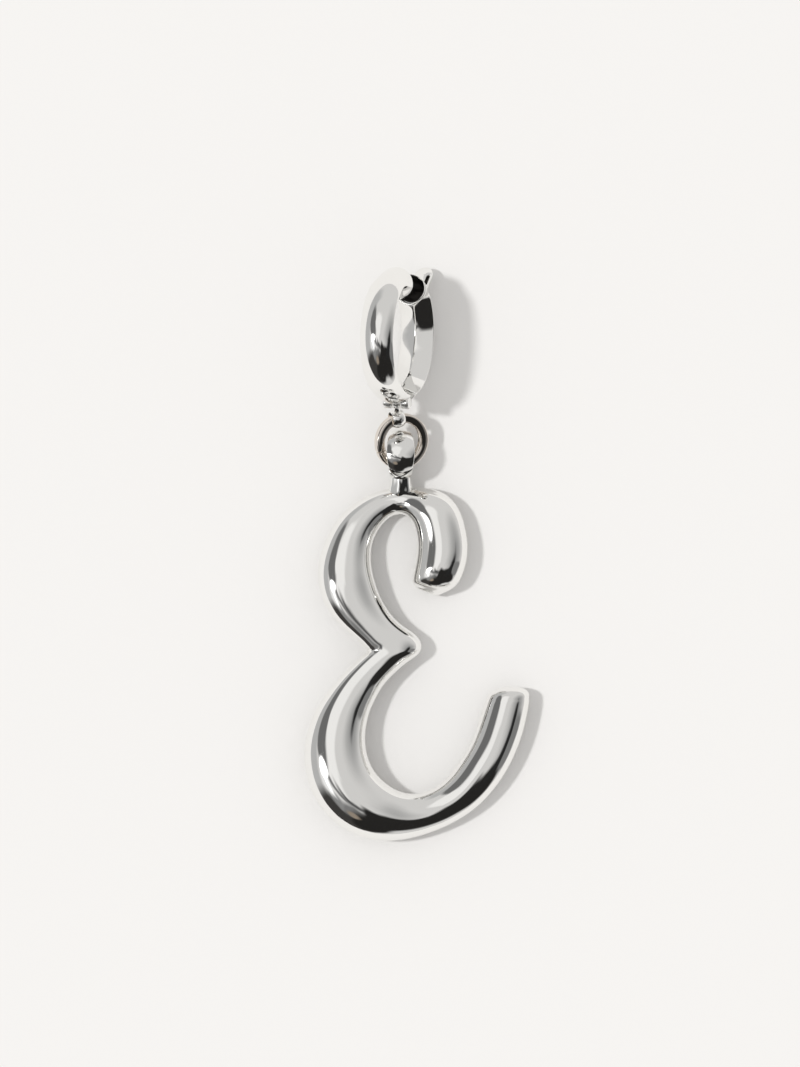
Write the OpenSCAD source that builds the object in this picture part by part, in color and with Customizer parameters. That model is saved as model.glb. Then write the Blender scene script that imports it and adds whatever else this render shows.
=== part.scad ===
// An initial pendant: a puffed script letter on a loop, a jump ring and a hinged clip.
// It lies on the letter's flat back. Millimetres, +X to the right, +Y up the letter, +Z out of
// the surface that it lies on. The origin is under the middle of its outline.

/* [Letter] */
// Width of the letter, from its left bulge to its open lower end
letter_w = 18.75; // [16:0.25:21]
// Height of the letter without its loop
letter_h = 29.4; // [26:0.2:33]
// Width of the stroke where it is fullest
stroke_w = 5.5; // [4.6:0.1:5.9]
// Thickness of the letter where the stroke is fullest
letter_t = 4; // [3:0.1:4.4]
// Length of the rounding at the hook's end
hook_round = 0.2; // [0.1:0.05:0.5]
// Length of the rounding at the lower end
foot_round = 1.15; // [0.6:0.05:1.6]

/* [Loop on the letter] */
// Outer diameter of the loop
loop_od = 4.3; // [3.6:0.1:5]
// Wall of the loop
loop_wall = 0.65; // [0.5:0.05:0.75]
// Width of the loop's band
loop_band = 2.4; // [1.6:0.1:2.6]
// Gap between the letter's top and the loop, which the neck fills
loop_rise = 0.6; // [0.3:0.05:1.2]
// Diameter of the neck that carries the loop
neck_d = 1.7; // [1.2:0.1:1.9]

/* [Jump ring] */
// Outer diameter of the jump ring
ring_od = 4.75; // [4.5:0.05:5.1]
// Wire of the jump ring
ring_wire = 0.8; // [0.6:0.02:0.9]
// How far the ring lies to the right of the loop's middle
ring_slip = 0.06; // [0:0.02:0.12]
// How far the ring tips up towards the clip, in degrees
ring_tip = 12; // [8:1:16]
// How far the ring's left side is turned up, in degrees
ring_roll = 23; // [15:1:28]

/* [Clip hoop] */
// Outer diameter of the hoop
hoop_od = 11.5; // [10.5:0.1:14]
// Radial thickness of the hoop's domed band
hoop_wall = 1.1; // [0.9:0.05:1.4]
// Width of the band
hoop_band = 3; // [2.6:0.1:3.4]
// Rounding of the band's inner edges
hoop_edge = 0.25; // [0.15:0.05:0.35]
// How far the hoop's axis leans from upright, in degrees
hoop_lean = 70; // [64:1:76]
// How far the hoop's top leans to the right, in degrees
hoop_turn = 2.5; // [0:0.5:5]

/* [Hinge] */
// Diameter of the hinge pin
pin_d = 0.45; // [0.35:0.05:0.5]
// Outer diameter of the hinge's knuckles
knuckle_d = 1.1; // [0.95:0.05:1.2]
// Length of the hinge along its pin
hinge_len = 2; // [1.7:0.1:2.4]
// Running clearance in the hinge
hinge_gap = 0.08; // [0.05:0.01:0.12]

/* [Catch] */
// Bore of the socket in the fixed half's end
socket_bore = 2.55; // [2:0.05:2.6]
// Wall round the socket
socket_wall = 0.2; // [0.15:0.05:0.3]
// Depth of the socket
socket_depth = 1.2; // [0.9:0.1:1.3]
// Diameter of the gate's catch post
post_d = 0.6; // [0.45:0.05:0.7]
// How far the gate's lug stands in from the band to carry the post
lug_drop = 1.4; // [1.2:0.1:1.6]
// Diameter of the rounded lug
lug_d = 2.4; // [2.2:0.1:2.5]

/* [Thumb tab and eye] */
// How far the thumb tab stands out from the hoop
tab_reach = 2.1; // [1.5:0.1:2.4]
// Width of the thumb tab
tab_w = 1.5; // [1.2:0.1:1.7]
// Thickness of the thumb tab
tab_t = 0.45; // [0.35:0.05:0.6]
// Width of the slot in the thumb tab
slot_w = 0.3; // [0.2:0.05:0.4]
// Length of the slot
slot_len = 1.2; // [0.9:0.1:1.4]
// Wall of the eye that holds the jump ring
eye_wall = 0.26; // [0.2:0.02:0.3]
// Width of the eye
eye_band = 0.9; // [0.7:0.1:1]
// Play of the jump ring in the eye, all round
eye_play = 0.14; // [0.1:0.02:0.2]
// Length of the post between the eye's middle and the band's middle
eye_post = 1.9; // [1.6:0.05:2.1]

/* [Hidden] */
$fn = 64;

// Rungs across the stroke, from the hook's end to the lower end. A rung starts on the outer edge.
// Columns: its place across and up, as shares of letter_w and letter_h, its length as a share of
// stroke_w, the direction in which it points, in degrees, and the length whose thickness it has:
// about the waist the longer rungs don't grow thicker
EDGE_X = 0;
EDGE_Y = 1;
RUNG = 2;
LEAN = 3;
FULL = 4;
RUNGS = [
    [0.598, 0.695, 0.385, 160, 0.385],
    [0.646, 0.707, 0.570, 169, 0.570],
    [0.690, 0.731, 0.715, 177, 0.715],
    [0.720, 0.782, 0.800, 186, 0.800],
    [0.728, 0.830, 0.780, 185, 0.780],
    [0.718, 0.881, 0.760, 188, 0.760],
    [0.691, 0.935, 0.735, 199, 0.735],
    [0.638, 0.976, 0.675, 212, 0.675],
    [0.562, 0.996, 0.560, 226, 0.560],
    [0.473, 1.000, 0.445, 248, 0.445],
    [0.384, 0.997, 0.425, 274, 0.425],
    [0.304, 0.983, 0.470, 295, 0.470],
    [0.229, 0.957, 0.540, 312, 0.540],
    [0.162, 0.921, 0.620, 327, 0.620],
    [0.109, 0.870, 0.690, 342, 0.690],
    [0.071, 0.807, 0.780, 354, 0.780],
    [0.060, 0.745, 0.850, 361, 0.850],
    [0.078, 0.680, 0.870, 370, 0.870],
    [0.127, 0.623, 0.815, 378, 0.790],
    [0.189, 0.585, 0.730, 384, 0.720],
    [0.242, 0.559, 0.680, 387, 0.700],
    [0.271, 0.544, 0.710, 384, 0.690],
    [0.278, 0.539, 0.795, 375, 0.680],
    [0.280, 0.537, 0.835, 365, 0.670],
    [0.278, 0.535, 0.790, 357, 0.660],
    [0.271, 0.531, 0.665, 348, 0.650],
    [0.242, 0.515, 0.610, 341, 0.640],
    [0.184, 0.480, 0.625, 341, 0.650],
    [0.118, 0.433, 0.710, 347, 0.715],
    [0.051, 0.371, 0.820, 356, 0.820],
    [0.011, 0.303, 0.900, 362, 0.900],
    [0.000, 0.240, 0.950, 367, 0.950],
    [0.016, 0.170, 0.985, 376, 0.985],
    [0.060, 0.108, 0.995, 386, 0.995],
    [0.131, 0.054, 0.985, 396, 0.985],
    [0.229, 0.016, 0.925, 407, 0.925],
    [0.340, 0.000, 0.815, 422, 0.815],
    [0.451, 0.004, 0.700, 439, 0.700],
    [0.562, 0.023, 0.620, 458, 0.620],
    [0.673, 0.054, 0.605, 476, 0.605],
    [0.776, 0.099, 0.645, 491, 0.645],
    [0.864, 0.162, 0.680, 506, 0.680],
    [0.931, 0.235, 0.690, 517, 0.690],
    [0.976, 0.314, 0.700, 529, 0.700],
    [0.998, 0.382, 0.680, 538, 0.680],
    [1.000, 0.399, 0.665, 541, 0.665],
];
// Directions in which the two rounded ends bulge
HOOK_HEADING = 255;
FOOT_HEADING = 78;
// How the thickness follows the stroke's width, as a power
PUFF = 0.75;
// Width of the letter's flat back, as a share of the stroke
FLAT = 0.5;
// Squareness of the rounded ends, where 2 is an ellipse
END_POWER = 2.5;
SPAN_STEPS = 3;
END_STEPS = 5;
SECTION_POINTS = 22;

flat_angle = acos(FLAT);
// Height of a section's middle, as a share of its half thickness
flat_lift = sin(flat_angle);

// The loop stands on the letter's crown, with its hole along X.
CROWN = 10;
crown_t = letter_t * pow(RUNGS[CROWN][FULL], PUFF);
loop_x = letter_w * (RUNGS[CROWN][EDGE_X] + RUNGS[CROWN - 1][EDGE_X]) / 2;
loop_y = letter_h + loop_rise + loop_od / 2;
loop_z = loop_od / 2;
loop_hole_r = loop_od / 2 - loop_wall;
neck_z = 0.6 * crown_t;

// The jump ring's lower wire is in the loop's hole, drawn towards the letter.
ring_r = (ring_od - ring_wire) / 2;
hang = (loop_hole_r - ring_wire / 2) * 0.8;
ring_x = loop_x + ring_slip;
ring_y = loop_y - hang + ring_r * cos(ring_tip);
ring_z = loop_z + ring_r * sin(ring_tip);

// The eye is on the ring's upper wire, a little to the left of its top.
eye_clock = 12;
eye_bore_r = ring_wire / 2 + eye_play;
eye_r = eye_bore_r + eye_wall;
eye = [ring_x, ring_y, ring_z]
    + ring_to_flat([-ring_r * sin(eye_clock), ring_r * cos(eye_clock), 0]);

// The hoop's own frame has +Z along its axis, +Y to its top and +X to its low side.
hoop_in_r = hoop_od / 2 - hoop_wall;
hoop_mid_r = hoop_od / 2 - hoop_wall / 2;
dome_r = hoop_in_r + hoop_edge;
dome_rise = hoop_wall - hoop_edge;
dome_arc_r = (pow(hoop_band / 2, 2) + pow(dome_rise, 2)) / (2 * dome_rise);
// Angles round the hoop, counted from its low side towards its top
body_top = 66;
gate_top = 98.5;
hinge_at = 277;
eye_at = 288;
tab_at = 47;
// The tab and its slot sit towards the reader's right, along the hoop's axis.
tab_shift = 0.13 * hoop_band;
slot_shift = 0.28 * tab_w;
// The eye sits a little towards the reader's left on the band.
eye_shift = -0.13 * hoop_band;
eye_seat = hoop_to_flat([hoop_mid_r * cos(eye_at), hoop_mid_r * sin(eye_at), eye_shift]);
hoop = [
    eye[0] - eye_seat[0],
    eye[1] + eye_post - eye_seat[1],
    dome_r * sin(hoop_lean)
        + norm([dome_rise * sin(hoop_lean), hoop_band / 2 * cos(hoop_lean)])
];

// The hinge's pin runs along the hoop's axis.
pin_r = hoop_od / 2 - 0.18 * knuckle_d;
pin_x = pin_r * cos(hinge_at);
pin_y = pin_r * sin(hinge_at);
knuckle_len = (hinge_len - 2 * hinge_gap) / 3;
knuckle_from = knuckle_len / 2 + hinge_gap;
// How far each knuckle stands clear of its own band's shoulder
shoulder = 0.6 * hinge_gap;
// Where the two halves of the hoop meet, a little past the pin on the fixed half's side
gate_end = hinge_at + asin(knuckle_d / 4 / pin_r);
body_end = gate_end + asin(hinge_gap / hoop_in_r);

// What fills the hoop stays this far under its dome.
dome_skin = hoop_edge / 5;
// The socket's bore runs along the frame's X.
socket_r = socket_bore / 2;
barrel_r = socket_r + socket_wall;
socket_y = hoop_in_r - 0.48 * socket_r;
socket_x = sqrt(pow(hoop_in_r, 2) - pow(socket_y, 2)) + 0.1;
// The post runs below the middle of the bore, and rises towards it when the gate opens.
post_y = socket_y - 0.3 * socket_r;
post_reach = 0.5 * socket_depth;
// Degrees of the hoop that the lug covers
lug_span = 20;

total_h = hoop[1] + hoop_od / 2;

function ring_to_flat(p) = let (
    x = p[0] * cos(ring_roll) + p[2] * sin(ring_roll),
    z = p[2] * cos(ring_roll) - p[0] * sin(ring_roll)
) [x, p[1] * cos(ring_tip) - z * sin(ring_tip), p[1] * sin(ring_tip) + z * cos(ring_tip)];

function hoop_to_flat(p) = let (
    x = p[0] * cos(hoop_lean) + p[2] * sin(hoop_lean),
    z = p[2] * cos(hoop_lean) - p[0] * sin(hoop_lean)
) [x * cos(hoop_turn) + p[1] * sin(hoop_turn), p[1] * cos(hoop_turn) - x * sin(hoop_turn), z];

function between(a, b, c, d, t) =
    0.5 * (2 * b + (c - a) * t + (2 * a - 5 * b + 4 * c - d) * t * t
    + (3 * b - a - 3 * c + d) * t * t * t);

function rung_at(i) = RUNGS[max(0, min(len(RUNGS) - 1, i))];

function stations() = [
    for (i = [0 : len(RUNGS) - 2], k = [0 : SPAN_STEPS - 1])
        between(rung_at(i - 1), rung_at(i), rung_at(i + 1), rung_at(i + 2), k / SPAN_STEPS),
    RUNGS[len(RUNGS) - 1]
];

function section_middle(row) = let (
    half = row[RUNG] * stroke_w / 2
) [
    row[EDGE_X] * letter_w + half * cos(row[LEAN]),
    row[EDGE_Y] * letter_h + half * sin(row[LEAN]),
    flat_lift * letter_t * pow(row[FULL], PUFF) / (1 + flat_lift)
];

function section_points(row, ahead, size) = let (
    middle = section_middle(row) + ahead,
    across = [cos(row[LEAN]), sin(row[LEAN]), 0],
    half_w = size * row[RUNG] * stroke_w / 2,
    half_t = size * letter_t * pow(row[FULL], PUFF) / (1 + flat_lift)
) [
    for (k = [0 : SECTION_POINTS - 1]) let (
        a = -flat_angle + k * (180 + 2 * flat_angle) / (SECTION_POINTS - 1),
        p = middle + across * half_w * cos(a) + [0, 0, half_t * sin(a)]
    ) [p[0], p[1], max(0, p[2])]
];

function end_sections(row, reach, steps) = [
    for (k = steps) let (t = sin(90 * k / END_STEPS))
        section_points(row, reach * t, pow(1 - pow(t, END_POWER), 1 / END_POWER))
];

function flatten(lists) = [for (list = lists) each list];

module letter_stroke() {
    rows = stations();
    first = rows[0];
    last = rows[len(rows) - 1];
    hook_reach = hook_round * [cos(HOOK_HEADING), sin(HOOK_HEADING), 0];
    foot_reach = foot_round * [cos(FOOT_HEADING), sin(FOOT_HEADING), 0];
    sections = concat(
        end_sections(first, hook_reach, [END_STEPS - 1 : -1 : 1]),
        [for (row = rows) section_points(row, [0, 0, 0], 1)],
        end_sections(last, foot_reach, [1 : END_STEPS - 1])
    );
    n = SECTION_POINTS;
    count = len(sections);
    start_tip = count * n;
    end_tip = start_tip + 1;
    tips = [section_middle(first) + hook_reach, section_middle(last) + foot_reach];
    points = concat(flatten(sections), tips);
    faces = concat(
        [for (k = [0 : n - 1]) [start_tip, k, (k + 1) % n]],
        [
            for (i = [0 : count - 2], k = [0 : n - 1], half = [0, 1]) let (
                a = i * n + k,
                b = i * n + (k + 1) % n
            ) half == 0 ? [a, a + n, b + n] : [a, b + n, b]
        ],
        [for (k = [0 : n - 1]) [end_tip, (count - 1) * n + (k + 1) % n, (count - 1) * n + k]]
    );
    polyhedron(points = points, faces = faces);
}

// A band's section: flat inside with bevelled edges, domed outside in one arc
module band_section(in_r, wall, band, edge) {
    rise = wall - edge;
    arc_r = (pow(band / 2, 2) + pow(rise, 2)) / (2 * rise);
    intersection() {
        translate([in_r + wall - arc_r, 0]) circle(r = arc_r);
        polygon([
            [in_r, -band / 2 + edge],
            [in_r + edge, -band / 2],
            [in_r + 2 * wall, -band / 2],
            [in_r + 2 * wall, band / 2],
            [in_r + edge, band / 2],
            [in_r, band / 2 - edge]
        ]);
    }
}

module hoop_arc(from, to) {
    rotate([0, 0, from])
        rotate_extrude(angle = to - from)
            band_section(hoop_in_r, hoop_wall, hoop_band, hoop_edge);
}

// All the room inside the hoop, to a skin's depth under its domed outer face
module hoop_inside(skin) {
    rotate_extrude()
        intersection() {
            translate([hoop_od / 2 - skin - dome_arc_r, 0]) circle(r = dome_arc_r);
            translate([0, -hoop_band / 2]) square([hoop_od, hoop_band]);
        }
    cylinder(r = hoop_in_r, h = hoop_band, center = true);
}

module on_flat() {
    translate([-letter_w / 2, -total_h / 2, 0]) children();
}

module in_hoop() {
    on_flat()
        translate(hoop)
            rotate([0, 0, -hoop_turn])
                rotate([0, hoop_lean, 0])
                    children();
}

module rod_x(r, from, to) {
    translate([from, 0, 0]) rotate([0, 90, 0]) cylinder(r = r, h = to - from);
}

module letter_loop() {
    translate([loop_x, loop_y, loop_z])
        rotate([0, 90, 0])
            rotate_extrude()
                band_section(loop_hole_r, loop_wall, loop_band, loop_wall / 3);
    neck_from = letter_h - 0.4 * RUNGS[CROWN][RUNG] * stroke_w;
    neck_to = loop_y - loop_hole_r - loop_wall / 5;
    translate([loop_x, neck_from, neck_z])
        rotate([-90, 0, 0])
            cylinder(d = neck_d, h = neck_to - neck_from);
}

module letter() {
    color("silver") on_flat() union() {
        letter_stroke();
        letter_loop();
    }
}

module jump_ring() {
    color("silver") on_flat()
        translate([ring_x, ring_y, ring_z])
            rotate([ring_tip, ring_roll, 0])
                rotate_extrude()
                    translate([ring_r, 0]) circle(d = ring_wire);
}

module knuckle(low, high, grow = 0) {
    translate([pin_x, pin_y, low]) cylinder(d = knuckle_d + 2 * grow, h = high - low);
}

module pin_hole(play) {
    translate([pin_x, pin_y, -hoop_band]) cylinder(d = pin_d + 2 * play, h = 2 * hoop_band);
}

module thumb_tab() {
    round_at = hoop_od / 2 + tab_reach - tab_w / 2;
    slot_from = hoop_od / 2 + slot_w / 2;
    rotate([90, 0, tab_at])
        translate([0, tab_shift, -tab_t / 2])
            linear_extrude(tab_t)
                difference() {
                    union() {
                        translate([hoop_mid_r, -tab_w / 2])
                            square([round_at - hoop_mid_r, tab_w]);
                        translate([round_at, 0]) circle(d = tab_w);
                    }
                    translate([0, slot_shift]) {
                        translate([slot_from, -slot_w / 2])
                            square([slot_len - slot_w, slot_w]);
                        for (x = [slot_from, slot_from + slot_len - slot_w])
                            translate([x, 0]) circle(d = slot_w);
                    }
                }
}

module eye_ring() {
    reach = hoop + eye_seat - eye;
    long = norm(reach);
    post_from = eye_bore_r + eye_wall / 2;
    translate(eye) {
        rotate([0, acos(reach[2] / long), atan2(reach[1], reach[0])])
            translate([0, 0, post_from])
                cylinder(r = eye_wall, h = long - post_from);
        rotate([ring_tip, ring_roll, 0])
            rotate([0, 90, eye_clock])
                difference() {
                    cylinder(r = eye_r, h = eye_band, center = true);
                    cylinder(r = eye_bore_r, h = 2 * eye_band, center = true);
                }
    }
}

module clip_body() {
    color("silver") difference() {
        union() {
            in_hoop() {
                difference() {
                    hoop_arc(body_end - 360, body_top);
                    knuckle(-knuckle_from - shoulder, knuckle_from + shoulder, hinge_gap);
                }
                knuckle(knuckle_from, hinge_len / 2);
                knuckle(-hinge_len / 2, -knuckle_from);
                intersection() {
                    hoop_inside(dome_skin);
                    translate([0, socket_y, 0])
                        rod_x(barrel_r, socket_x, socket_x + socket_depth + socket_wall);
                }
                thumb_tab();
            }
            on_flat() eye_ring();
        }
        in_hoop() {
            intersection() {
                hoop_inside(dome_skin + 0.6 * socket_wall);
                translate([0, socket_y, 0]) rod_x(socket_r, 0, socket_x + socket_depth);
            }
            pin_hole(0);
        }
    }
}

module catch_lug() {
    rotate([0, 0, gate_top])
        rotate_extrude(angle = lug_span)
            translate([hoop_in_r - lug_drop + lug_d / 2, 0]) circle(d = lug_d);
}

module clip_gate() {
    color("silver") in_hoop() difference() {
        union() {
            difference() {
                hoop_arc(gate_top, gate_end);
                knuckle(knuckle_len / 2 - shoulder, hoop_band, hinge_gap);
                knuckle(-hoop_band, shoulder - knuckle_len / 2, hinge_gap);
            }
            knuckle(-knuckle_len / 2, knuckle_len / 2);
            catch_lug();
            translate([0, post_y, 0])
                rod_x(post_d / 2, hoop_in_r * cos(gate_top + 0.6 * lug_span), socket_x + post_reach);
        }
        pin_hole(hinge_gap / 2);
    }
}

module hinge_pin() {
    color("silver") in_hoop()
        translate([pin_x, pin_y, -hinge_len / 2]) cylinder(d = pin_d, h = hinge_len);
}

letter();
jump_ring();
clip_body();
clip_gate();
hinge_pin();
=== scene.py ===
# %% [markdown]
# # A puffed silver initial on a hinged clip
# The pendant lies on its flat back on pale paper: a cast and mirror-polished script letter, a
# soldered loop, a jump ring and a small hinged clip hoop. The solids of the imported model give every
# size and place. This first step loads them, so that each piece made here lands where its solid is.

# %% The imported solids
import math

import bmesh
import bpy
from mathutils import Matrix, Vector


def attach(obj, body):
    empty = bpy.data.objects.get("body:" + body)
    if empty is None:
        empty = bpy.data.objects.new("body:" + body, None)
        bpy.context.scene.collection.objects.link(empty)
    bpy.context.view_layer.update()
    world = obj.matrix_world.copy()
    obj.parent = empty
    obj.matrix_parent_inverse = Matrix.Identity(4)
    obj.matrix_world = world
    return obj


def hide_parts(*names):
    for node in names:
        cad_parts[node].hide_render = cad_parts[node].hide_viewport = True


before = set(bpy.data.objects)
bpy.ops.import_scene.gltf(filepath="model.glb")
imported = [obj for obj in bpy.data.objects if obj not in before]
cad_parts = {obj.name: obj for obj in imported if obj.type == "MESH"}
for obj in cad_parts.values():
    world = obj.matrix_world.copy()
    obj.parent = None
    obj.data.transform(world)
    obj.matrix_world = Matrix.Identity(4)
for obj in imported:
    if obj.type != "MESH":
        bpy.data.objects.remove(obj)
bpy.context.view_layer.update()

# %% [markdown]
# ## A piece and its solid
# Lengths in this file are millimetres, because a jeweller thinks in them, and each finished mesh is
# brought to metres once. A piece rides on its body, and it says which solid it stands for and which
# finish it has. Its place is in its mesh, so the object itself stays at the origin. A Subdivision
# Surface could be applied at once, but as a modifier it keeps the cage small and easy to look at.

# %% Making a piece from a bmesh
MM = 0.001
MERGE_DISTANCE = 1e-5


def finish_piece(bm, name, body, material, node=None, smoothing=2):
    bmesh.ops.remove_doubles(bm, verts=bm.verts, dist=MERGE_DISTANCE)
    bmesh.ops.recalc_face_normals(bm, faces=bm.faces)
    bmesh.ops.scale(bm, vec=(MM, MM, MM), verts=bm.verts)
    for face in bm.faces:
        face.smooth = True
    mesh = bpy.data.meshes.new(name)
    bm.to_mesh(mesh)
    bm.free()
    piece = bpy.data.objects.new(name, mesh)
    bpy.context.scene.collection.objects.link(piece)
    if smoothing:
        rounding = piece.modifiers.new("rounding", "SUBSURF")
        rounding.levels = rounding.render_levels = smoothing
    mesh.materials.append(material)
    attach(piece, body)
    if node:
        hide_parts(node)
    print(name, "faces:", len(mesh.polygons))


# %% [markdown]
# ## Shader maths
# A finish is a tree of nodes. It could be wired by hand in the Shader Editor, but written out as
# expressions it reads like the sum that it is. One small class wraps a socket, so that adding two
# of them adds a Math node, and one method makes every other node.

# %% Shader maths as expressions
class Value:
    """A socket's number: an expression on it adds the Math nodes that it needs."""

    def __init__(self, recipe, socket):
        self.recipe = recipe
        self.socket = socket

    def maths(self, operation, *numbers):
        return self.recipe.add("ShaderNodeMath", {"operation": operation}, dict(enumerate(numbers)))

    def __add__(self, other):
        return self.maths("ADD", self, other)

    def __sub__(self, other):
        return self.maths("SUBTRACT", self, other)

    def __rsub__(self, other):
        return self.maths("SUBTRACT", other, self)

    def __mul__(self, other):
        return self.maths("MULTIPLY", self, other)

    __radd__ = __add__
    __rmul__ = __mul__


# %% The recipe of a finish
class Recipe:
    """The node tree of a finish, or of the room's light."""

    def __init__(self, owner):
        owner.use_nodes = True
        self.tree = owner.node_tree
        self.tree.nodes.clear()

    def add(self, kind, settings=None, sockets=None, out=0):
        node = self.tree.nodes.new(kind)
        for key, setting in (settings or {}).items():
            setattr(node, key, setting)
        for key, value in (sockets or {}).items():
            if isinstance(value, Value):
                self.tree.links.new(value.socket, node.inputs[key])
            else:
                node.inputs[key].default_value = value
        return Value(self, node.outputs[out]) if len(node.outputs) else None

    def mix(self, share, first, second):
        return self.add("ShaderNodeMix", {"data_type": "RGBA"},
                        {"Factor": share, "A": first, "B": second}, out=2)


def grey(level, warmth=0.0):
    """An opaque grey, or one leaning to brown by its warmth."""
    return (level * (1 + warmth), level, level * (1 - warmth), 1.0)


print("paper grey as a colour:", grey(0.8, 0.01))

# %% [markdown]
# ## Polished silver
# Silver is a metal, so its colour is the colour of its reflections: nearly white, a little warm.
# A buffed casting isn't a perfect mirror. The wheel leaves slow waves and fine lines that bend the
# reflections, so both are drawn with noise and fed to a bump, which is enough for marks far thinner
# than a hair. The lines also make the gloss a little uneven. On the letter they follow the stroke,
# as the wheel did, through an attribute that is written where its rings are made.

# %% One recipe for all the silver
WAVE_SCALE, WAVE_DETAIL, WAVE_ROUGHNESS = 300.0, 1.0, 0.4
LINE_SCALE, LINE_TURN = (2600, 15600, 2600), (0.3, 0.5, 0.7)
LINE_DETAIL, LINE_ROUGHNESS = 4.0, 0.6
UNEVEN_GLOSS, DULL_SHARE = 0.04, 0.97


def polished_silver(name, tint, gloss, wave, scratch, grain=None):
    """Silver of one tint and roughness; wave and scratch are the depths of its unevenness in mm.

    The buffing lines follow the mesh's own grain attribute where it has one.
    """
    material = bpy.data.materials.new(name)
    recipe = Recipe(material)
    place = recipe.add("ShaderNodeTexCoord", out="Object")
    waves = recipe.add("ShaderNodeTexNoise", {}, {
        "Vector": place, "Scale": WAVE_SCALE, "Detail": WAVE_DETAIL, "Roughness": WAVE_ROUGHNESS})
    if grain:
        along = recipe.add("ShaderNodeAttribute", {"attribute_name": grain}, out="Vector")
    else:
        along = recipe.add("ShaderNodeMapping", {},
                           {"Vector": place, "Rotation": LINE_TURN, "Scale": LINE_SCALE})
    lines = recipe.add("ShaderNodeTexNoise", {}, {
        "Vector": along, "Scale": 1.0, "Detail": LINE_DETAIL, "Roughness": LINE_ROUGHNESS})
    waved = recipe.add("ShaderNodeBump", {},
                       {"Height": waves, "Strength": 1.0, "Distance": wave * MM})
    buffed = recipe.add("ShaderNodeBump", {},
                        {"Height": lines, "Strength": 1.0, "Distance": scratch * MM, "Normal": waved})
    tone = recipe.mix(waves, (*[DULL_SHARE * part for part in tint], 1.0), (*tint, 1.0))
    silver = recipe.add("ShaderNodeBsdfPrincipled", {}, {
        "Base Color": tone, "Metallic": 1.0, "Roughness": gloss + (lines - 0.5) * UNEVEN_GLOSS,
        "Normal": buffed})
    recipe.add("ShaderNodeOutputMaterial", {}, {"Surface": silver})
    print(name, "nodes:", len(recipe.tree.nodes))
    return material


# %% The silver finishes
# The ring's wire is browner than the castings and the knuckles are only brushed. The socket and the
# slot get a near-black silver as painted shade for their dark depths, rough as no wheel gets in there.
SILVER, WIRE, PAINTED_SHADE_TINT = (0.93, 0.925, 0.905), (0.80, 0.74, 0.68), (0.03, 0.028, 0.026)
letter_silver = polished_silver("letter_silver", SILVER, gloss=0.05, wave=0.02, scratch=0.0018,
                                grain="grain")
loop_silver = polished_silver("loop_silver", SILVER, gloss=0.05, wave=0.01, scratch=0.0001)
clip_silver = polished_silver("clip_silver", SILVER, gloss=0.05, wave=0.01, scratch=0.0001)
painted_shade_silver = polished_silver("silver_in_painted_shade", PAINTED_SHADE_TINT, gloss=0.55, wave=0.003, scratch=0.001)
wire_silver = polished_silver("wire_silver", WIRE, gloss=0.06, wave=0.002, scratch=0.00015)
satin_silver = polished_silver("satin_silver", SILVER, gloss=0.3, wave=0.002, scratch=0.001)

# %% [markdown]
# ## The letter
# The real letter is one swelling tube, cast with a flat back. It could be a curve with a round bevel,
# but its edges don't keep to one distance from a middle line. So it is lofted: each row of the table
# is a rung across the stroke, a ring of points is laid on each rung, and the rings are bridged.
# A Subdivision Surface then draws one smooth skin through them, which a mirror finish needs.

# %% The rungs across the stroke
LETTER_W, LETTER_H, STROKE_W, LETTER_T = 18.75, 29.4, 5.5, 4.0
TOTAL_H = 47.657
CORNER = Vector((-LETTER_W / 2, -TOTAL_H / 2, 0))
# place across, place up, length (shares of width, height and stroke), direction in degrees, and
# the length whose thickness the rung has: about the waist the longer rungs don't grow thicker
RUNGS = [
    (0.598, 0.695, 0.385, 160, 0.385), (0.646, 0.707, 0.570, 169, 0.570),
    (0.690, 0.731, 0.715, 177, 0.715), (0.720, 0.782, 0.800, 186, 0.800),
    (0.728, 0.830, 0.780, 185, 0.780), (0.718, 0.881, 0.760, 188, 0.760),
    (0.691, 0.935, 0.735, 199, 0.735), (0.638, 0.976, 0.675, 212, 0.675),
    (0.562, 0.996, 0.560, 226, 0.560), (0.473, 1.000, 0.445, 248, 0.445),
    (0.384, 0.997, 0.425, 274, 0.425), (0.304, 0.983, 0.470, 295, 0.470),
    (0.229, 0.957, 0.540, 312, 0.540), (0.162, 0.921, 0.620, 327, 0.620),
    (0.109, 0.870, 0.690, 342, 0.690), (0.071, 0.807, 0.780, 354, 0.780),
    (0.060, 0.745, 0.850, 361, 0.850), (0.082, 0.681, 0.850, 370, 0.850),
    (0.135, 0.626, 0.787, 378, 0.815), (0.197, 0.588, 0.703, 384, 0.785),
    (0.246, 0.561, 0.666, 387, 0.770), (0.271, 0.544, 0.710, 384, 0.762),
    (0.278, 0.539, 0.795, 375, 0.756), (0.280, 0.537, 0.835, 365, 0.752),
    (0.278, 0.535, 0.790, 357, 0.750), (0.271, 0.531, 0.665, 348, 0.750),
    (0.242, 0.515, 0.610, 341, 0.750), (0.184, 0.480, 0.625, 341, 0.760),
    (0.118, 0.433, 0.710, 347, 0.785), (0.051, 0.371, 0.820, 356, 0.840),
    (0.011, 0.303, 0.900, 362, 0.900), (0.000, 0.240, 0.950, 367, 0.950),
    (0.016, 0.170, 0.985, 376, 0.985), (0.060, 0.108, 0.995, 386, 0.995),
    (0.131, 0.054, 0.985, 396, 0.985), (0.229, 0.016, 0.925, 407, 0.925),
    (0.340, 0.000, 0.815, 422, 0.815), (0.451, 0.004, 0.700, 439, 0.700),
    (0.562, 0.023, 0.620, 458, 0.620), (0.673, 0.054, 0.605, 476, 0.605),
    (0.776, 0.099, 0.645, 491, 0.645), (0.864, 0.162, 0.680, 506, 0.680),
    (0.931, 0.235, 0.690, 517, 0.690), (0.976, 0.314, 0.700, 529, 0.700),
    (0.998, 0.382, 0.680, 538, 0.680), (1.000, 0.399, 0.665, 541, 0.665),
]

# %% Smooth rungs between those of the table
RUNG_STEPS = 2


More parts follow.
